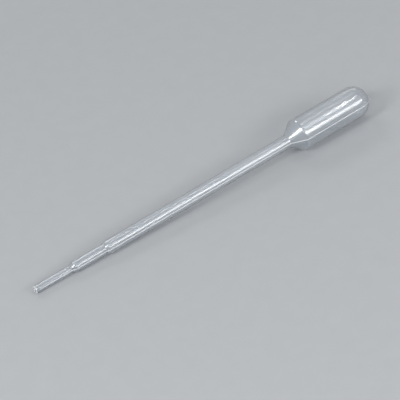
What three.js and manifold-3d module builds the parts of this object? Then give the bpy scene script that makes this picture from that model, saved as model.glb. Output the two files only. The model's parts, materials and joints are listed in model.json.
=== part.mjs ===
import * as THREE from 'three';
import { mergeVertices } from 'three/addons/utils/BufferGeometryUtils.js';
import Module from 'manifold-3d';

// A disposable dropper pipette: a stepped tube with an open tip and a squeeze bulb, blow-moulded
// in one piece from clear low-density polyethylene. It lies on its side as it comes to rest, on
// the corner of its first step and on the shoulder of its bulb.
//
// Millimetres, +Z up, +X from the tip to the bulb, with the origin at the bottom centre of its
// box. Stations are measured along the tube's own axis from the mouth. Angles are measured round
// that axis, from the top towards -Y.

// Lengths of the straight sections, in order from the mouth.
const TIP_LENGTH = 16.2;
const MIDDLE_LENGTH = 14.2;
const STEM_LENGTH = 87;
const BULB_LENGTH = 27.9;

// Outer radii where each section begins. The stem and the bulb taper by the mould's draft.
const TIP_RADIUS = 1.53;
const MIDDLE_RADIUS = 2.28;
const STEM_RADIUS = 2.86;
const STEM_DRAFT = 0.06;
const BULB_RADIUS = 6.79;
const BULB_DRAFT = 0.19;

// The cones between the sections, each by its slope against the axis.
const STEP_ANGLE = THREE.MathUtils.degToRad(28);
const SHOULDER_ANGLE = THREE.MathUtils.degToRad(36);

// Walls: the further out the hot tube is blown, the thinner it gets.
const TIP_WALL = 0.5;
const MIDDLE_WALL = 0.45;
const STEM_WALL = 0.4;
const BULB_WALL = 0.35;

// Rounds at the corners of the outline.
const MOUTH_ROUND = 0.15;
const STEP_ROUND = 0.6;
const NECK_ROUND = 0.5;
const SHOULDER_ROUND = 1.2;

// The seam where the two halves of the mould meet, on both sides of the pipette.
const SEAM_ANGLE = THREE.MathUtils.degToRad(75);
const SEAM_START = 0.5;
const SEAM_WIDTH = 0.35;
const SEAM_HEIGHT = 0.12;

// The bead across the end of the bulb, where the mould pinches the hot tube shut.
const PINCH_SPREAD = THREE.MathUtils.degToRad(72);
const PINCH_WIDTH = 0.5;
const PINCH_HEIGHT = 0.25;

// Graduation ribs, raised on the stem by one half of the mould and evenly spaced, 0.5 ml apart.
const RIB_COUNT = 4;
const FIRST_RIB_FROM_STEP = 13;
const LAST_RIB_FROM_NECK = 4.9;
const RIB_SPREAD = THREE.MathUtils.degToRad(76);
const RIB_WIDTH = 0.6;
const RIB_HEIGHT = 0.27;

const BEAD_CHAMFER = 0.12;
const QUARTER_TURN = Math.PI / 2;

const NECK_RADIUS = STEM_RADIUS - STEM_DRAFT;
const DOME_RADIUS = BULB_RADIUS - BULB_DRAFT;
const TIP_STEP_LENGTH = (MIDDLE_RADIUS - TIP_RADIUS) / Math.tan(STEP_ANGLE);
const MIDDLE_STEP_LENGTH = (STEM_RADIUS - MIDDLE_RADIUS) / Math.tan(STEP_ANGLE);
const SHOULDER_LENGTH = (BULB_RADIUS - NECK_RADIUS) / Math.tan(SHOULDER_ANGLE);
const STEM_START = TIP_LENGTH + TIP_STEP_LENGTH + MIDDLE_LENGTH + MIDDLE_STEP_LENGTH;

// One flat of the revolved sides faces down, so that the pipette doesn't roll.
const SIDES = 24;
const CURVE_STEPS = 4;
const BEAD_STEPS = 8;

// How far the cutting solid of the bore runs out past the mouth.
const BORE_OVERRUN = 1;

const wasm = await Module();
wasm.setup();

function solidFrom(geometry) {
  geometry.deleteAttribute('normal');
  geometry.deleteAttribute('uv');
  const merged = mergeVertices(geometry, 1e-5);
  const corners = merged.index.array;
  const triangles = [];
  for (let i = 0; i < corners.length; i += 3) {
    const [a, b, c] = corners.slice(i, i + 3);
    if (a !== b && b !== c && c !== a) {
      triangles.push(a, b, c);
    }
  }
  return new wasm.Manifold(new wasm.Mesh({
    numProp: 3,
    vertProperties: merged.attributes.position.array,
    triVerts: new Uint32Array(triangles),
  }));
}

function geometryFrom(solid) {
  const { vertProperties, triVerts } = solid.getMesh();
  const geometry = new THREE.BufferGeometry();
  geometry.setAttribute('position', new THREE.BufferAttribute(vertProperties, 3));
  geometry.setIndex(new THREE.BufferAttribute(triVerts, 1));
  geometry.computeVertexNormals();
  return geometry;
}

// The corners of the outer outline, from the mouth to where the dome begins. Each has its place,
// as its radius and its station, and the wall and the round that it gets.
function outerCorners() {
  const sections = [
    [0, TIP_RADIUS, TIP_WALL, MOUTH_ROUND],
    [TIP_LENGTH, TIP_RADIUS, TIP_WALL, STEP_ROUND],
    [TIP_STEP_LENGTH, MIDDLE_RADIUS, MIDDLE_WALL, STEP_ROUND],
    [MIDDLE_LENGTH, MIDDLE_RADIUS, MIDDLE_WALL, STEP_ROUND],
    [MIDDLE_STEP_LENGTH, STEM_RADIUS, STEM_WALL, STEP_ROUND],
    [STEM_LENGTH, NECK_RADIUS, STEM_WALL, NECK_ROUND],
    [SHOULDER_LENGTH, BULB_RADIUS, BULB_WALL, SHOULDER_ROUND],
    [BULB_LENGTH, DOME_RADIUS, BULB_WALL, 0],
  ];
  let station = 0;
  return sections.map(([length, radius, wall, round]) => {
    station += length;
    return { at: new THREE.Vector2(radius, station), wall, round };
  });
}

// The corners moved out from the sides that meet there, each by its own distance.
function movedOut(corners, distanceOf) {
  const normals = corners.slice(1).map(({ at }, i) => {
    const side = at.clone().sub(corners[i].at).normalize();
    return new THREE.Vector2(side.y, -side.x);
  });
  return corners.map((corner, i) => {
    const before = normals[Math.max(i - 1, 0)];
    const after = normals[Math.min(i, normals.length - 1)];
    const miter = before.clone().add(after).divideScalar(1 + before.dot(after));
    const at = corner.at.clone().addScaledVector(miter, distanceOf(corner));
    return { ...corner, at };
  });
}

// Half of an outline, from the axis at the start station to the axis at the top of the dome,
// which is a quarter of a circle on the last corner.
function halfOutline(corners, start, startRound) {
  const mouth = new THREE.Vector2(corners[0].at.x, start);
  const places = [new THREE.Vector2(0, start), mouth, ...corners.slice(1).map(({ at }) => at)];
  const rounds = [0, startRound, ...corners.slice(1).map(({ round }) => round)];
  const path = new THREE.Path();
  path.moveTo(0, start);
  for (let i = 1; i < places.length - 1; i += 1) {
    const corner = places[i];
    const back = places[i - 1].clone().sub(corner).normalize();
    const onward = places[i + 1].clone().sub(corner).normalize();
    // An arc of the given radius would leave and meet the sides this far from the corner.
    const reach = rounds[i] / Math.tan(back.angleTo(onward) / 2);
    const leave = corner.clone().addScaledVector(back, reach);
    const meet = corner.clone().addScaledVector(onward, reach);
    path.lineTo(leave.x, leave.y);
    if (reach > 0) {
      path.quadraticCurveTo(corner.x, corner.y, meet.x, meet.y);
    }
  }
  const dome = places.at(-1);
  path.lineTo(dome.x, dome.y);
  path.absarc(0, dome.y, dome.x, 0, QUARTER_TURN);
  return path.getPoints(CURVE_STEPS);
}

function revolved(outline) {
  const geometry = new THREE.LatheGeometry(outline, SIDES, Math.PI / SIDES);
  return solidFrom(geometry.rotateZ(-QUARTER_TURN));
}

function inSeamPlane(geometry) {
  return geometry.rotateZ(-QUARTER_TURN).rotateX(SEAM_ANGLE - QUARTER_TURN);
}

// A plate of the whole outline, so that its rim stands out of both sides as the seam.
function seamPlate(outline) {
  const mirrored = outline.slice(1, -1).reverse().map(({ x, y }) => new THREE.Vector2(-x, y));
  const shape = new THREE.Shape([...outline, ...mirrored]);
  const geometry = new THREE.ExtrudeGeometry(shape, { depth: SEAM_WIDTH, bevelEnabled: false });
  return solidFrom(inSeamPlane(geometry.translate(0, 0, -SEAM_WIDTH / 2)));
}

// A chamfered bead that stands out of a round surface. It lies in the XY plane round +X, and it
// is rooted deeper than the wall, because the bore trims it.
function bead(radius, wall, height, spread, width) {
  const shape = new THREE.Shape();
  shape.absarc(0, 0, radius + height, -spread / 2, spread / 2, false);
  shape.absarc(0, 0, radius - 2 * wall, spread / 2, -spread / 2, true);
  shape.closePath();
  const depth = width - 2 * BEAD_CHAMFER;
  return new THREE.ExtrudeGeometry(shape, {
    depth,
    curveSegments: BEAD_STEPS,
    bevelThickness: BEAD_CHAMFER,
    bevelSize: BEAD_CHAMFER,
    bevelOffset: -BEAD_CHAMFER,
    bevelSegments: 1,
  }).translate(0, 0, -depth / 2);
}

function pinchBead(domeStation) {
  const geometry = bead(DOME_RADIUS, BULB_WALL, PINCH_HEIGHT, PINCH_SPREAD, PINCH_WIDTH);
  return solidFrom(inSeamPlane(geometry.rotateZ(QUARTER_TURN).translate(0, domeStation, 0)));
}

// The ribs are in the middle of one half of the mould, a quarter turn past the seam.
function graduationRib(index) {
  const span = STEM_LENGTH - FIRST_RIB_FROM_STEP - LAST_RIB_FROM_NECK;
  const fromStep = FIRST_RIB_FROM_STEP + (index * span) / (RIB_COUNT - 1);
  const radius = THREE.MathUtils.lerp(STEM_RADIUS, NECK_RADIUS, fromStep / STEM_LENGTH);
  const geometry = bead(radius, STEM_WALL, RIB_HEIGHT, RIB_SPREAD, RIB_WIDTH);
  geometry.rotateY(QUARTER_TURN).rotateX(SEAM_ANGLE + QUARTER_TURN - Math.PI);
  return solidFrom(geometry.translate(STEM_START + fromStep, 0, 0));
}

// How far the axis leans from level when the pipette lies on the floor. Its centre of mass is in
// the stem, so it rests on one place ahead of the stem's middle and on one behind it: of all the
// lines that join two such places of the outline, on the one that passes the stem furthest out.
function restLean(outline) {
  const middle = STEM_START + STEM_LENGTH / 2;
  let furthest = 0;
  let slope = 0;
  for (const front of outline.filter(({ y }) => y < middle)) {
    for (const rear of outline.filter(({ y }) => y > middle)) {
      const rise = (rear.x - front.x) / (rear.y - front.y);
      const reach = front.x + rise * (middle - front.y);
      if (reach > furthest) {
        furthest = reach;
        slope = rise;
      }
    }
  }
  return Math.atan(slope * Math.cos(Math.PI / SIDES));
}

function pipette() {
  const corners = outerCorners();
  const domeStation = corners.at(-1).at.y;
  const outline = halfOutline(corners, 0, MOUTH_ROUND);
  const seam = movedOut(corners, () => SEAM_HEIGHT);
  const inside = movedOut(corners, ({ wall }) => -wall);

  let solid = revolved(outline);
  solid = solid.add(seamPlate(halfOutline(seam, SEAM_START, 0)));
  solid = solid.add(pinchBead(domeStation));
  for (let index = 0; index < RIB_COUNT; index += 1) {
    solid = solid.add(graduationRib(index));
  }
  solid = solid.subtract(revolved(halfOutline(inside, -BORE_OVERRUN, 0)));

  const material = new THREE.MeshStandardMaterial({
    color: 0xdde5ea,
    roughness: 0.25,
    metalness: 0,
    transparent: true,
    opacity: 0.45,
  });
  const mesh = new THREE.Mesh(geometryFrom(solid), material);
  mesh.name = 'pipette';
  mesh.rotation.y = -restLean(outline);
  const box = new THREE.Box3().setFromObject(mesh, true);
  const centre = box.getCenter(new THREE.Vector3());
  mesh.position.set(-centre.x, -centre.y, -box.min.z);
  return mesh;
}

const group = new THREE.Group();
group.add(pipette());

export default group;
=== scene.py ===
"""A dropper pipette of clear soft polyethylene, lying on a pale table."""

import json
import math

import bpy
import numpy as np
from mathutils import Matrix, Vector


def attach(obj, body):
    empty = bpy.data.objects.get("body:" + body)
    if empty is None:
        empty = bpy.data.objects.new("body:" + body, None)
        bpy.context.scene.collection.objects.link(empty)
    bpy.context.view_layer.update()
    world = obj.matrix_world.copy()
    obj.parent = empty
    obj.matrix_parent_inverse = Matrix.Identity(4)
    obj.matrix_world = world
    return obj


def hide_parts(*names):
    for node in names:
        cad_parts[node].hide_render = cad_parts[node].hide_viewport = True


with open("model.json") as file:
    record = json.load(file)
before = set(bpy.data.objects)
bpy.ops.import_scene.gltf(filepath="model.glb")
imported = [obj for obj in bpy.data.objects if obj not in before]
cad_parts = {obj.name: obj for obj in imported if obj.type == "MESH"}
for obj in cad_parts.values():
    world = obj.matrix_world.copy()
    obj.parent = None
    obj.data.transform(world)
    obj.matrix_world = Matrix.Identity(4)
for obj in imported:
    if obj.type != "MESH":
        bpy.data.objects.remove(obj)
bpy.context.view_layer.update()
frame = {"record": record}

MM = 0.001

# Lengths of the straight sections, in order from the mouth.
TIP_LENGTH = 16.2 * MM
MIDDLE_LENGTH = 14.2 * MM
STEM_LENGTH = 87 * MM
BULB_LENGTH = 27.9 * MM

# Outer radii where each section begins. The stem and the bulb taper by the mould's draft.
TIP_RADIUS = 1.53 * MM
MIDDLE_RADIUS = 2.28 * MM
STEM_RADIUS = 2.86 * MM
STEM_DRAFT = 0.06 * MM
BULB_RADIUS = 6.79 * MM
BULB_DRAFT = 0.19 * MM

# The cones between the sections, each by its slope against the axis.
STEP_ANGLE = math.radians(28)
SHOULDER_ANGLE = math.radians(36)

# Walls: the further out the hot tube is blown, the thinner it gets.
TIP_WALL = 0.5 * MM
MIDDLE_WALL = 0.45 * MM
STEM_WALL = 0.4 * MM
BULB_WALL = 0.35 * MM

# Rounds at the corners of the outline.
MOUTH_ROUND = 0.15 * MM
BORE_ROUND = 0.06 * MM
STEP_ROUND = 0.6 * MM
NECK_ROUND = 0.5 * MM
SHOULDER_ROUND = 1.2 * MM

# The seam where the two halves of the mould meet, on both sides of the pipette. Angles are
# measured round the axis, from the top towards the front.
SEAM_ANGLE = math.radians(75)
SEAM_START = 0.5 * MM
SEAM_WIDTH = 0.35 * MM
SEAM_HEIGHT = 0.12 * MM

# The bead across the end of the bulb, where the mould pinches the hot tube shut.
PINCH_SPREAD = math.radians(72)
PINCH_WIDTH = 0.5 * MM
PINCH_HEIGHT = 0.25 * MM

# The graduations are raised in the middle of one half of the mould.
GRADUATION_ANGLE = SEAM_ANGLE + math.pi / 2
RIB_COUNT = 4
FIRST_RIB_FROM_STEP = 13 * MM
LAST_RIB_FROM_NECK = 4.9 * MM
RIB_SPREAD = math.radians(76)
RIB_WIDTH = 0.6 * MM
RIB_HEIGHT = 0.27 * MM

# Small raised figures before every second rib, which read from the tip to the bulb.
FIGURES = ("1 ml", "2 ml")
FIGURE_HEIGHT = 2.5 * MM
FIGURE_GAP = 1.9 * MM
STROKE_WIDTH = 0.4 * MM
STROKE_HEIGHT = 0.2 * MM

# The share of a ridge's width that is flat on top.
CREST_SHARE = 0.3

# Faint waves that run along the inside of the drawn tube, counted round the bore.
WAVE_COUNTS = range(3, 15)
WAVE_HEIGHT = 0.002 * MM
WAVE_SEED = 7

NECK_RADIUS = STEM_RADIUS - STEM_DRAFT
DOME_RADIUS = BULB_RADIUS - BULB_DRAFT
TIP_STEP_LENGTH = (MIDDLE_RADIUS - TIP_RADIUS) / math.tan(STEP_ANGLE)
MIDDLE_STEP_LENGTH = (STEM_RADIUS - MIDDLE_RADIUS) / math.tan(STEP_ANGLE)
SHOULDER_LENGTH = (BULB_RADIUS - NECK_RADIUS) / math.tan(SHOULDER_ANGLE)
STEM_START = TIP_LENGTH + TIP_STEP_LENGTH + MIDDLE_LENGTH + MIDDLE_STEP_LENGTH

# How closely the surface is divided: rows along the pipette, finer where something is raised, and
# columns round it, more of them on the graduated half.
ARC_STEP = math.radians(5)
LEAST_ARC_ROWS = 3
DOME_ROWS = round(math.pi / 2 / ARC_STEP) * 3
ROW_STEP = 1.4 * MM
FINE_ROW_STEP = 0.09 * MM
FINE_MARGIN = 0.15 * MM
GRADUATED_COLUMNS = 84
PLAIN_COLUMNS = 36

# How far a row's points lie from the middle of a seam, and the widest angle that they may reach
# to either side of it.
SEAM_COLUMNS = np.array([-0.3, -0.175, -0.12, -0.06, 0, 0.06, 0.12, 0.175, 0.3]) * MM
WIDEST_SEAM = math.radians(11)

# Where the plastic is whitened: so many rows to both sides of the cut lip, the seams and the bead
# above a share of the seam's height, and the graduations and figures above a share of their own,
# where the whiter crests are a painted glint.
LIP_ROWS = round(math.pi / 2 / ARC_STEP)
PINCHED_SHARE = 1 / 8
GLINT_PAINTED_SHARE = 0.6

# The plastic: its index of refraction, the depth of its skin's relief, the share of the outside's
# roughness that the blown side has, and how far in from its edge the wall darkens a shadow.
IOR = 1.51
SKIN_DEPTH = 0.01 * MM
BLOWN_SHARE = 0.3
EDGE_BLEND = 0.35

# The table: how far its colour strays, and how far out it turns into the backdrop.
TABLE_SIDE = 6
TABLE_COLOUR = (0.47, 0.484, 0.498, 1)
TABLE_MOTTLE = 0.03
BACKDROP_START = 0.1
BACKDROP_END = 0.35

# The camera: which side it looks from, how far away it is and how it is turned, and how far to its
# right and up the place lies that it looks at.
CAMERA_SIDE = (-0.392, -0.641, 0.660)
CAMERA_DISTANCE = 0.802
CAMERA_ROLL = math.radians(6.8)
CAMERA_AIM = (-2.91 * MM, -0.61 * MM)
FOCAL_LENGTH = 185.3

# Lengths in metres and turns in radians below this count as none, and stations that are alike to
# so many decimals are one.
TOLERANCE = 1e-6
STATION_DECIMALS = 7


def rib_stations():
    """Where the ribs stand along the pipette, evenly spaced."""
    span = STEM_LENGTH - FIRST_RIB_FROM_STEP - LAST_RIB_FROM_NECK
    return STEM_START + FIRST_RIB_FROM_STEP + np.arange(RIB_COUNT) * span / (RIB_COUNT - 1)


# ---- The outline, as points of (radius, station) ----

def outer_corners():
    """The corners of the outside, from the mouth to the dome, with their walls and rounds."""
    lengths = [0, TIP_LENGTH, TIP_STEP_LENGTH, MIDDLE_LENGTH, MIDDLE_STEP_LENGTH,
               STEM_LENGTH, SHOULDER_LENGTH, BULB_LENGTH]
    radii = [TIP_RADIUS, TIP_RADIUS, MIDDLE_RADIUS, MIDDLE_RADIUS, STEM_RADIUS,
             NECK_RADIUS, BULB_RADIUS, DOME_RADIUS]
    walls = [TIP_WALL, TIP_WALL, MIDDLE_WALL, MIDDLE_WALL, STEM_WALL,
             STEM_WALL, BULB_WALL, BULB_WALL]
    rounds = [MOUTH_ROUND, STEP_ROUND, STEP_ROUND, STEP_ROUND, STEP_ROUND,
              NECK_ROUND, SHOULDER_ROUND, 0]
    return np.column_stack([radii, np.cumsum(lengths)]), np.array(walls), rounds


def moved_out(corners, distances):
    """The corners moved out from the sides that meet there, each by its own distance."""
    sides = np.diff(corners, axis=0)
    sides /= np.linalg.norm(sides, axis=1)[:, None]
    normals = np.column_stack([sides[:, 1], -sides[:, 0]])
    before = np.vstack([normals[:1], normals])
    after = np.vstack([normals, normals[-1:]])
    miters = (before + after) / (1 + (before * after).sum(1))[:, None]
    return corners + miters * distances[:, None]


def arc_at(before, corner, after, radius):
    """The points of an arc that rounds a corner of the outline."""
    start = math.atan2(*(corner - before)[::-1])
    turn = math.remainder(math.atan2(*(after - corner)[::-1]) - start, math.tau)
    if radius == 0 or abs(turn) < TOLERANCE:
        return [corner]
    reach = radius * math.tan(abs(turn) / 2)
    leave = corner - reach * np.array([math.cos(start), math.sin(start)])
    bend = math.copysign(radius, turn)
    rows = max(LEAST_ARC_ROWS, math.ceil(abs(turn) / ARC_STEP) + 1)
    headings = start + turn * np.linspace(0, 1, rows)
    return [leave + bend * np.array([math.sin(heading) - math.sin(start),
                                     math.cos(start) - math.cos(heading)])
            for heading in headings]


def fine_stretches():
    """Where on the stem something small is raised, from and to which station."""
    ribs = rib_stations()
    margin = RIB_WIDTH / 2 + FINE_MARGIN
    stretches = [(rib - margin, rib + margin) for rib in ribs]
    for text, rib in zip(FIGURES, ribs[1::2]):
        end = rib - FIGURE_GAP + STROKE_WIDTH
        stretches.append((end - text_width(text) - 2 * STROKE_WIDTH, end))
    return stretches


def straight_points(start, end, stretches):
    """Points from start up to end, close together over the fine stretches."""
    stations = [np.arange(start[1], end[1], ROW_STEP)]
    stations += [np.arange(low, high, FINE_ROW_STEP) for low, high in stretches]
    stations = np.unique(np.concatenate(stations).round(STATION_DECIMALS))
    stations = stations[(stations > start[1] + TOLERANCE) & (stations < end[1] - TOLERANCE)]
    share = (stations - start[1]) / (end[1] - start[1])
    return [start + (end - start) * part for part in share]


def side_outline(corners, rounds, lip, stretches):
    """The side over every corner, from where the flat lip of the mouth ends to near the pole."""
    places = [lip, *corners]
    points = []
    for before, corner, after, radius in zip(places, places[1:], places[2:], rounds):
        arc = arc_at(before, corner, after, radius)
        if points:
            points += straight_points(points[-1], arc[0], stretches)
        points += arc
    points += straight_points(points[-1], corners[-1], [])
    radius, station = corners[-1]
    for turn in np.linspace(0, math.pi / 2, DOME_ROWS + 1)[:-1]:
        points.append(np.array([radius * math.cos(turn), station + radius * math.sin(turn)]))
    return np.array(points)


def outline_normals(points):
    """The direction out of the side at each of its points."""
    heads = np.gradient(points, axis=0)
    normals = np.column_stack([heads[:, 1], -heads[:, 0]])
    return normals / np.linalg.norm(normals, axis=1)[:, None]


# ---- What is raised on the outside ----

def ridge(distance, width, height):
    """The height of a rounded ridge at a distance from its middle line."""
    share = np.clip((np.abs(distance) / (width / 2) - CREST_SHARE) / (1 - CREST_SHARE), 0, 1)
    return height * (0.5 + 0.5 * np.cos(math.pi * share))


def from_graduations(angles):
    """Angles measured from the middle of the graduations, by the shorter way round."""
    return np.remainder(angles - GRADUATION_ANGLE + math.pi, math.tau) - math.pi


def seam_relief(stations, radii, angles):
    """The seams on both sides, which fade in past the mouth."""
    across = radii * np.sin(angles - SEAM_ANGLE)
    relief = ridge(across, SEAM_WIDTH, SEAM_HEIGHT)
    return relief * np.clip((stations - SEAM_START) / SEAM_WIDTH, 0, 1)


def pinch_relief(stations, radii, angles, dome_station):
    """The bead where the mould pinches the hot tube shut, across the end of the dome."""
    across = radii * np.sin(angles - SEAM_ANGLE)
    along_seam = radii * np.cos(angles - SEAM_ANGLE)
    past_pole = np.arctan2(np.abs(along_seam), stations - dome_station)
    beyond = DOME_RADIUS * np.maximum(past_pole - PINCH_SPREAD / 2, 0)
    return ridge(np.hypot(across, beyond), PINCH_WIDTH, PINCH_HEIGHT) * (stations > dome_station)


def rib_relief(stations, radii, angles):
    """The graduation ribs, each a part of a ring with round ends."""
    beyond = radii * np.maximum(np.abs(from_graduations(angles)) - RIB_SPREAD / 2, 0)
    relief = np.zeros_like(angles)
    for rib in rib_stations():
        relief = np.maximum(relief, ridge(np.hypot(stations - rib, beyond), RIB_WIDTH, RIB_HEIGHT))
    return relief


BOW_POINTS = 9


def bow(centre, radius, start, end):
    """The points of an arc in a figure, between two angles in degrees."""
    turns = np.radians(np.linspace(start, end, BOW_POINTS))
    return [(centre[0] + radius * math.cos(turn), centre[1] + radius * math.sin(turn))
            for turn in turns]


# Each figure's strokes and its width, and the space between figures, for a height of 1.
STROKES = {
    "1": [[(0, 0.74), (0.3, 1), (0.3, 0)]],
    "2": [[*bow((0.3, 0.7), 0.3, 170, -40), (0, 0), (0.62, 0)]],
    "m": [[(0, 0), (0, 0.64)],
          [(0, 0.4), *bow((0.24, 0.4), 0.24, 150, 0), (0.48, 0)],
          [(0.48, 0.4), *bow((0.72, 0.4), 0.24, 150, 0), (0.96, 0)]],
    "l": [[(0, 0), (0, 1)]],
    " ": [],
}
ADVANCE = {"1": 0.3, "2": 0.62, "m": 0.96, "l": 0, " ": 0.1}
SPACING = 0.4


def text_width(text):
    """How far a text runs along the pipette."""
    steps = sum(ADVANCE[figure] for figure in text) + SPACING * (len(text) - 1)
    return steps * FIGURE_HEIGHT


def text_strokes(text, end):
    """The strokes of a text that ends at a station, as pairs of (station, height) places."""
    cursor = end - text_width(text)
    for figure in text:
        for stroke in STROKES[figure]:
            places = np.array(stroke) * FIGURE_HEIGHT + [cursor, -FIGURE_HEIGHT / 2]
            yield from zip(places, places[1:])
        cursor += (ADVANCE[figure] + SPACING) * FIGURE_HEIGHT


def figure_relief(stations, radii, angles):
    """The raised figures, laid round the wall with their feet towards one seam."""
    height = -radii * from_graduations(angles)
    nearest = np.full_like(angles, STROKE_WIDTH)
    for text, rib in zip(FIGURES, rib_stations()[1::2]):
        for start, end in text_strokes(text, rib - FIGURE_GAP):
            reach = end - start
            share = (stations - start[0]) * reach[0] + (height - start[1]) * reach[1]
            share = np.clip(share / (reach @ reach), 0, 1)
            away = np.hypot(stations - start[0] - share * reach[0],
                            height - start[1] - share * reach[1])
            nearest = np.minimum(nearest, away)
    return ridge(nearest, STROKE_WIDTH, STROKE_HEIGHT)


# ---- The mesh ----

def row_angles(radii):
    """The angles of every row's points: at fixed widths across both seams, and even between."""
    widest = SEAM_COLUMNS.max()
    spread = np.minimum(1 / radii, WIDEST_SEAM / widest)
    across = SEAM_COLUMNS[None, :] * spread[:, None]
    edge = widest * spread
    near, far = SEAM_ANGLE, SEAM_ANGLE + math.pi
    graduated = np.linspace(near + edge, far - edge, GRADUATED_COLUMNS + 2, axis=1)[:, 1:-1]
    plain = np.linspace(far + edge, near + math.tau - edge, PLAIN_COLUMNS + 2, axis=1)[:, 1:-1]
    return np.hstack([near + across, graduated, far + across, plain])


def surface_points(points, normals, angles, relief):
    """Places in the tube's own frame, along +X with its top towards +Z."""
    radii = points[:, :1] + normals[:, :1] * relief
    stations = points[:, 1:] + normals[:, 1:] * relief
    return np.stack([stations, -radii * np.sin(angles), radii * np.cos(angles)], axis=2)


def outside():
    """The outer points, the station of the pole that closes them, and which are whitened."""
    corners, _, rounds = outer_corners()
    lip = np.array([0, corners[0][1]])
    points = side_outline(corners, rounds, lip, fine_stretches())
    angles = row_angles(points[:, 0])
    radii, stations = points[:, :1], points[:, 1:]
    seams = np.maximum(seam_relief(stations, radii, angles),
                       pinch_relief(stations, radii, angles, corners[-1][1]))
    ribs = rib_relief(stations, radii, angles)
    figures = figure_relief(stations, radii, angles)
    whitened = seams > SEAM_HEIGHT * PINCHED_SHARE
    # The crests of the graduations and figures get the whiter plastic as a painted glint.
    whitened |= np.maximum(ribs / RIB_HEIGHT, figures / STROKE_HEIGHT) > GLINT_PAINTED_SHARE
    relief = np.maximum.reduce([seams, ribs, figures])
    pole = corners[-1][1] + DOME_RADIUS + PINCH_HEIGHT
    return surface_points(points, outline_normals(points), angles, relief), pole, whitened


def inside():
    """The inner points, with the waves of the drawn tube, and the station of their pole."""
    corners, walls, rounds = outer_corners()
    corners = moved_out(corners, -walls)
    rounds[0] = BORE_ROUND
    lip = np.array([2 * corners[0][0], corners[0][1]])
    points = side_outline(corners, rounds, lip, [])
    angles = row_angles(points[:, 0])
    random = np.random.default_rng(WAVE_SEED)
    waves = np.zeros_like(angles)
    for count in WAVE_COUNTS:
        height = random.normal(0, WAVE_HEIGHT)
        waves += height * np.cos(count * angles + random.uniform(0, math.tau))
    waves *= np.clip((points[:, 1:] - corners[0][1]) / TIP_LENGTH, 0, 1)
    waves *= np.clip((corners[-1][1] - points[:, 1:]) / BULB_LENGTH, 0, 1)
    pole = corners[-1][1] + corners[-1][0]
    return surface_points(points, outline_normals(points), angles, waves), pole


def mouth_direction():
    """The direction that the mouth faces, along the pipette's axis, from the tip's mount."""
    return next(mount["axis"] for mount in frame["record"]["mounts"] if mount["name"] == "tip_end")


def leaning():
    """The turn that lays the tube's own frame along the pipette's axis."""
    ahead = -Vector(mouth_direction())
    side = Vector((0, 1, 0))
    return np.array([ahead, side, ahead.cross(side)])


def wall_faces(row_count, column_count):
    """Quads between the rows, and a fan round the pole at either end, which are the last points."""
    grid = np.arange(row_count * column_count).reshape(row_count, column_count)
    ahead = np.roll(grid, -1, axis=1)
    quads = np.stack([grid[:-1], ahead[:-1], ahead[1:], grid[1:]], axis=2).reshape(-1, 4)
    inner_pole, outer_pole = grid.size, grid.size + 1
    inner_cap = [(inner_pole, b, a) for a, b in zip(grid[0], ahead[0])]
    outer_cap = [(a, b, outer_pole) for a, b in zip(grid[-1], ahead[-1])]
    return quads.tolist() + inner_cap + outer_cap


def give_materials(mesh, inner_rows, whitened):
    """Gives a face the second material where three of its corners are whitened, and by the lip."""
    row_count, column_count = whitened.shape
    second = np.zeros((inner_rows + row_count - 1, column_count), int)
    second[inner_rows:] = whitened[:-1] & whitened[1:] & np.roll(whitened, -1, 1)[:-1]
    second[inner_rows - LIP_ROWS:inner_rows + LIP_ROWS - 1] = 1
    caps = [0] * (2 * column_count)
    mesh.polygons.foreach_set("material_index", [*second.ravel(), *caps])


def mark_blown_side(mesh, inner_points):
    """Marks the inside's points, which come first, and its pole, which is the last but one."""
    blown = np.zeros(len(mesh.vertices))
    blown[:inner_points] = 1
    blown[-2] = 1
    mesh.attributes.new("blown side", "FLOAT", "POINT").data.foreach_set("value", blown)


def pipette():
    """One closed wall: the inside, the lip of the mouth, and the outside."""
    outer, outer_pole, whitened = outside()
    inner, inner_pole = inside()
    rows = np.concatenate([inner[::-1], outer])
    row_count, column_count = rows.shape[:2]
    poles = np.array([[inner_pole, 0, 0], [outer_pole, 0, 0]])
    places = np.vstack([rows.reshape(-1, 3), poles]) @ leaning()

    # Its lowest point lies on the table, and its length is centred.
    low, high = places.min(0), places.max(0)
    places -= [(low[0] + high[0]) / 2, 0, low[2]]

    mesh = bpy.data.meshes.new("pipette_wall")
    mesh.from_pydata(places.tolist(), [], wall_faces(row_count, column_count))
    mesh.polygons.foreach_set("use_smooth", [True] * len(mesh.polygons))
    give_materials(mesh, len(inner), whitened)
    mark_blown_side(mesh, len(inner) * column_count)
    mesh.update()
    wall = bpy.data.objects.new("pipette_wall", mesh)
    bpy.context.scene.collection.objects.link(wall)
    return wall


# ---- Materials ----

def placed(tree, kind, **values):
    """A node of a kind, with values by the names of its inputs."""
    node = tree.nodes.new(kind)
    for name, value in values.items():
        node.inputs[name.replace("_", " ")].default_value = value
    return node


def worked_out(tree, operation, *values):
    """The result of a Math node, on numbers and other nodes' outputs."""
    node = tree.nodes.new("ShaderNodeMath")
    node.operation = operation
    for socket, given in zip(node.inputs, values):
        if isinstance(given, bpy.types.NodeSocket):
            tree.links.new(given, socket)
        else:
            socket.default_value = given
    return node.outputs["Value"]


def scaled(tree, value, factor, offset=0):
    """A value times a factor, plus an offset."""
    return worked_out(tree, "MULTIPLY_ADD", value, factor, offset)


def cells(tree, place, along, across):
    """Places in the tube's own frame, in cells: so many per metre along its axis and across it."""
    turned = tree.nodes.new("ShaderNodeMapping")
    turned.vector_type = "TEXTURE"
    turned.inputs["Rotation"].default_value = (0, math.asin(mouth_direction()[2]), 0)
    counted = tree.nodes.new("ShaderNodeVectorMath")
    counted.operation = "MULTIPLY"
    counted.inputs[1].default_value = (along, across, across)
    tree.links.new(place, turned.inputs["Vector"])
    tree.links.new(turned.outputs["Vector"], counted.inputs[0])
    return counted.outputs["Vector"]


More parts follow.
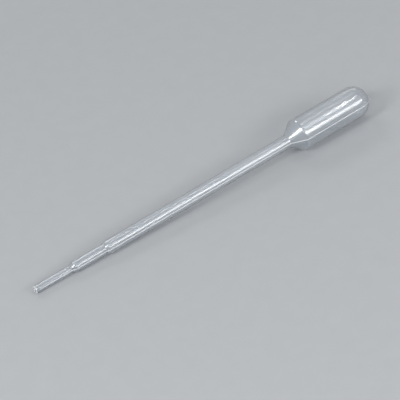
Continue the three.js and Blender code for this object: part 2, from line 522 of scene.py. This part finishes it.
def noise(tree, place, along, across, detail=2):
    """Soft noise from 0 to 1, with so many cells per metre along the tube and across it."""
    texture = placed(tree, "ShaderNodeTexNoise", Scale=1, Detail=detail)
    tree.links.new(cells(tree, place, along, across), texture.inputs["Vector"])
    return texture.outputs["Fac"]


def dots(tree, place, per_metre, shown):
    """1 on small round dots, one in each of a share of the cells, and 0 between them."""
    scatter = placed(tree, "ShaderNodeTexVoronoi", Scale=1, Randomness=1)
    tree.links.new(cells(tree, place, per_metre, per_metre), scatter.inputs["Vector"])
    round_dot = placed(tree, "ShaderNodeMapRange", From_Min=0.1, From_Max=0.05)
    tree.links.new(scatter.outputs["Distance"], round_dot.inputs["Value"])
    lot = tree.nodes.new("ShaderNodeSeparateColor")
    tree.links.new(scatter.outputs["Color"], lot.inputs["Color"])
    drawn = worked_out(tree, "GREATER_THAN", lot.outputs["Red"], 1 - shown)
    return scaled(tree, round_dot.outputs["Result"], drawn)


def moulded_skin():
    """The skin that the mould leaves: turned marks round it, drawn streaks along it and specks."""
    group = bpy.data.node_groups.new("moulded skin", "ShaderNodeTree")
    for name in ("Roughness", "Streaks", "Marks", "Specks"):
        group.interface.new_socket(name, in_out="INPUT", socket_type="NodeSocketFloat")
    for name in ("Roughness", "Height", "Gloss"):
        group.interface.new_socket(name, in_out="OUTPUT", socket_type="NodeSocketFloat")
    given = group.nodes.new("NodeGroupInput").outputs
    put = group.nodes.new("NodeGroupOutput").inputs
    place = group.nodes.new("ShaderNodeTexCoord").outputs["Object"]

    streaks = noise(group, place, along=45, across=900)
    marks = noise(group, place, along=2600, across=240)
    cloud = noise(group, place, along=110, across=160, detail=3)
    ripple = noise(group, place, along=1500, across=130, detail=1)
    specks = dots(group, place, per_metre=330, shown=0.2)

    height = scaled(group, streaks, given["Streaks"])
    height = scaled(group, marks, given["Marks"], height)
    height = scaled(group, specks, given["Specks"], height)
    rough = scaled(group, given["Roughness"], scaled(group, cloud, factor=0.12, offset=0.95))
    rough = scaled(group, specks, factor=0.1, offset=rough)
    group.links.new(height, put["Height"])
    group.links.new(rough, put["Roughness"])
    group.links.new(scaled(group, ripple, factor=0.7, offset=0.6), put["Gloss"])
    return group


def smooth_within(tree, roughness):
    """The mould gives the outside its roughness: the blown side, and any side met from within the
    wall, keeps only a share of it."""
    blown = tree.nodes.new("ShaderNodeAttribute")
    blown.attribute_name = "blown side"
    side = tree.nodes.new("ShaderNodeNewGeometry")
    either = worked_out(tree, "MAXIMUM", blown.outputs["Fac"], side.outputs["Backfacing"])
    share = scaled(tree, either, factor=BLOWN_SHARE - 1, offset=1)
    return scaled(tree, roughness, share)


def skinned(material, skin, **values):
    """The material's Principled shader, with the moulded skin on it."""
    material.use_nodes = True
    tree = material.node_tree
    shader = tree.nodes["Principled BSDF"]
    surface = tree.nodes.new("ShaderNodeGroup")
    surface.node_tree = skin
    for name, value in values.items():
        surface.inputs[name].default_value = value
    bump = placed(tree, "ShaderNodeBump", Strength=1, Distance=SKIN_DEPTH)
    rough = smooth_within(tree, surface.outputs["Roughness"])
    tree.links.new(surface.outputs["Height"], bump.inputs["Height"])
    tree.links.new(bump.outputs["Normal"], shader.inputs["Normal"])
    tree.links.new(rough, shader.inputs["Roughness"])
    tree.links.new(surface.outputs["Gloss"], shader.inputs["Coat Weight"])
    return shader


def let_light_through(material, shader, centre, rim):
    """The thin wall hardly bends the light that falls through it on the table, so it passes most of
    that straight on, and less where it stands edge on."""
    nodes, links = material.node_tree.nodes, material.node_tree.links
    edge = placed(material.node_tree, "ShaderNodeLayerWeight", Blend=EDGE_BLEND)
    tint = nodes.new("ShaderNodeMix")
    tint.data_type = "RGBA"
    tint.inputs["A"].default_value = centre
    tint.inputs["B"].default_value = rim
    passed = nodes.new("ShaderNodeBsdfTransparent")
    links.new(edge.outputs["Facing"], tint.inputs["Factor"])
    links.new(tint.outputs["Result"], passed.inputs["Color"])
    path = nodes.new("ShaderNodeLightPath")
    surface = shader.outputs["BSDF"]
    for ray in ("Is Shadow Ray", "Is Diffuse Ray"):
        mix = nodes.new("ShaderNodeMixShader")
        links.new(path.outputs[ray], mix.inputs["Fac"])
        links.new(surface, mix.inputs[1])
        links.new(passed.outputs["BSDF"], mix.inputs[2])
        surface = mix.outputs["Shader"]
    links.new(surface, nodes["Material Output"].inputs["Surface"])


def polyethylene(skin):
    """Clear, a little milky, and greyer where the light runs along inside the wall."""
    material = bpy.data.materials.new("clear polyethylene")
    shader = skinned(material, skin, Roughness=0.29, Streaks=1, Marks=0.35, Specks=2)
    shader.inputs["Base Color"].default_value = (0.95, 0.97, 0.985, 1)
    shader.inputs["IOR"].default_value = IOR
    shader.inputs["Transmission Weight"].default_value = 0.92
    shader.inputs["Coat Roughness"].default_value = 0.06
    let_light_through(material, shader, centre=(0.93, 0.94, 0.95, 1), rim=(0.35, 0.37, 0.4, 1))
    inside_wall = placed(material.node_tree, "ShaderNodeVolumeAbsorption",
                         Color=(0.82, 0.84, 0.86, 1), Density=1500)
    material.node_tree.links.new(inside_wall.outputs["Volume"],
                                 material.node_tree.nodes["Material Output"].inputs["Volume"])
    return material


def whitened_polyethylene(skin):
    """The same plastic where it was pinched or cut: frosted and whiter. On the crests of the
    graduations and figures this whitening is a painted glint.
    """
    material = bpy.data.materials.new("whitened polyethylene")
    shader = skinned(material, skin, Roughness=0.45, Streaks=2, Marks=2, Specks=1)
    shader.inputs["Base Color"].default_value = (0.93, 0.95, 0.97, 1)
    shader.inputs["IOR"].default_value = IOR
    shader.inputs["Transmission Weight"].default_value = 0.1
    shader.inputs["Coat Roughness"].default_value = 0.2
    let_light_through(material, shader, centre=(0.8, 0.81, 0.82, 1), rim=(0.3, 0.32, 0.35, 1))
    return material


def seen(tree):
    """1 for what is looked at, also in a reflection or through the plastic, and 0 for its light."""
    path = tree.nodes.new("ShaderNodeLightPath")
    seen_by = path.outputs["Is Camera Ray"]
    for ray in ("Is Glossy Ray", "Is Transmission Ray"):
        seen_by = worked_out(tree, "MAXIMUM", seen_by, path.outputs[ray])
    return seen_by


def table_top():
    """Pale and matt, with a very faint mottle, and running out into the even backdrop."""
    material = bpy.data.materials.new("pale table")
    material.use_nodes = True
    tree = material.node_tree
    shader = tree.nodes["Principled BSDF"]
    shader.inputs["Roughness"].default_value = 0.6
    shader.inputs["Specular IOR Level"].default_value = 0.05
    mottle = placed(tree, "ShaderNodeTexNoise", Scale=900, Detail=3)
    tint = tree.nodes.new("ShaderNodeMix")
    tint.data_type = "RGBA"
    for end, change in (("A", 1 - TABLE_MOTTLE), ("B", 1 + TABLE_MOTTLE)):
        tint.inputs[end].default_value = [change * part for part in TABLE_COLOUR[:3]] + [1]
    tree.links.new(mottle.outputs["Fac"], tint.inputs["Factor"])
    tree.links.new(tint.outputs["Result"], shader.inputs["Base Color"])

    place = tree.nodes.new("ShaderNodeTexCoord").outputs["Object"]
    away = tree.nodes.new("ShaderNodeVectorMath")
    away.operation = "LENGTH"
    tree.links.new(place, away.inputs[0])
    far = placed(tree, "ShaderNodeMapRange", From_Min=BACKDROP_START, From_Max=BACKDROP_END)
    far.interpolation_type = "SMOOTHERSTEP"
    tree.links.new(away.outputs["Value"], far.inputs["Value"])
    backdrop = placed(tree, "ShaderNodeEmission", Color=TABLE_COLOUR, Strength=1)
    blend = tree.nodes.new("ShaderNodeMixShader")
    tree.links.new(scaled(tree, far.outputs["Result"], seen(tree)), blend.inputs["Fac"])
    tree.links.new(shader.outputs["BSDF"], blend.inputs[1])
    tree.links.new(backdrop.outputs["Emission"], blend.inputs[2])
    tree.links.new(blend.outputs["Shader"], tree.nodes["Material Output"].inputs["Surface"])
    return material


# ---- Stage, lights and camera ----

def table():
    mesh = bpy.data.meshes.new("table")
    half = TABLE_SIDE / 2
    mesh.from_pydata([(-half, -half, 0), (half, -half, 0), (half, half, 0), (-half, half, 0)],
                     [], [(0, 1, 2, 3)])
    floor = bpy.data.objects.new("table", mesh)
    bpy.context.scene.collection.objects.link(floor)
    mesh.materials.append(table_top())


def softbox(name, place, size, power):
    """A rectangular lamp that faces the middle of the pipette, with its first side along it."""
    lamp = bpy.data.lights.new(name, "AREA")
    lamp.shape = "RECTANGLE"
    lamp.size, lamp.size_y = size
    lamp.energy = power
    lit = bpy.data.objects.new(name, lamp)
    bpy.context.scene.collection.objects.link(lit)
    away = Vector(place).normalized()
    along_pipette = (Vector((1, 0, 0)) - away * away.x).normalized()
    lit.matrix_world = Matrix.Translation(place) @ Matrix(
        (along_pipette, away.cross(along_pipette), away)).transposed().to_4x4()


def lights():
    """Long soft lamps whose reflections run along the pipette, and smaller ones for its ends."""
    softbox("top", (0.293, 0.09, 0.84), (0.2, 0.08), 0.35)
    softbox("front", (0.285, -0.7, 0.47), (0.27, 0.28), 1.4)
    softbox("front_bulb", (0.4525, -0.74, 0.41), (0.08, 0.26), 0.33)
    softbox("front_end", (0.6, -0.6, 0.42), (0.16, 0.16), 1)
    softbox("above_bulb", (0.418, -0.27, 0.79), (0.052, 0.3), 0.1)
    softbox("above_end", (0.447, -0.27, 0.79), (0.005, 0.24), 0.16)
    softbox("top_bulb", (0.376, 0.209, 0.712), (0.1, 0.03), 0.035)
    softbox("tip_side", (-0.68, -0.14, 0.56), (0.34, 0.2), 3)
    softbox("by_the_tip", (-0.49, -0.52, 0.56), (0.14, 0.14), 0.9)
    softbox("by_the_eye", (-0.15, -0.75, 0.47), (0.12, 0.2), 0.7)
    softbox("behind", (0.05, 0.85, 0.75), (0.5, 0.3), 2)
    softbox("back", (0.58, 0.62, 0.42), (0.3, 0.2), 0.35)
    world = bpy.data.worlds.new("studio")
    bpy.context.scene.world = world
    world.use_nodes = True
    tree = world.node_tree
    light = tree.nodes["Background"]
    light.inputs["Color"].default_value = (0.96, 0.98, 1, 1)
    light.inputs["Strength"].default_value = 0.3
    backdrop = placed(tree, "ShaderNodeBackground", Color=TABLE_COLOUR, Strength=1)
    either = tree.nodes.new("ShaderNodeMixShader")
    tree.links.new(seen(tree), either.inputs["Fac"])
    tree.links.new(light.outputs["Background"], either.inputs[1])
    tree.links.new(backdrop.outputs["Background"], either.inputs[2])
    tree.links.new(either.outputs["Shader"], tree.nodes["World Output"].inputs["Surface"])


def camera():
    """Looks down on the pipette from its tip's side, a little turned."""
    towards = Vector(CAMERA_SIDE).normalized()
    level = Vector((0, 0, 1)).cross(towards).normalized()
    upright = towards.cross(level)
    right = level * math.cos(CAMERA_ROLL) - upright * math.sin(CAMERA_ROLL)
    up = level * math.sin(CAMERA_ROLL) + upright * math.cos(CAMERA_ROLL)
    lens = bpy.data.cameras.new("camera")
    lens.sensor_width = 36
    lens.lens = FOCAL_LENGTH
    lens.clip_end = 10
    eye = bpy.data.objects.new("camera", lens)
    bpy.context.scene.collection.objects.link(eye)
    aim = right * CAMERA_AIM[0] + up * CAMERA_AIM[1]
    eye.matrix_world = Matrix.Translation(aim + towards * CAMERA_DISTANCE) @ Matrix(
        (right, up, towards)).transposed().to_4x4()
    bpy.context.scene.camera = eye


camera()
table()
lights()
wall = pipette()
skin = moulded_skin()
wall.data.materials.append(polyethylene(skin))
wall.data.materials.append(whitened_polyethylene(skin))
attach(wall, "root")
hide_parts("pipette")
bpy.context.scene.view_settings.view_transform = "Standard"
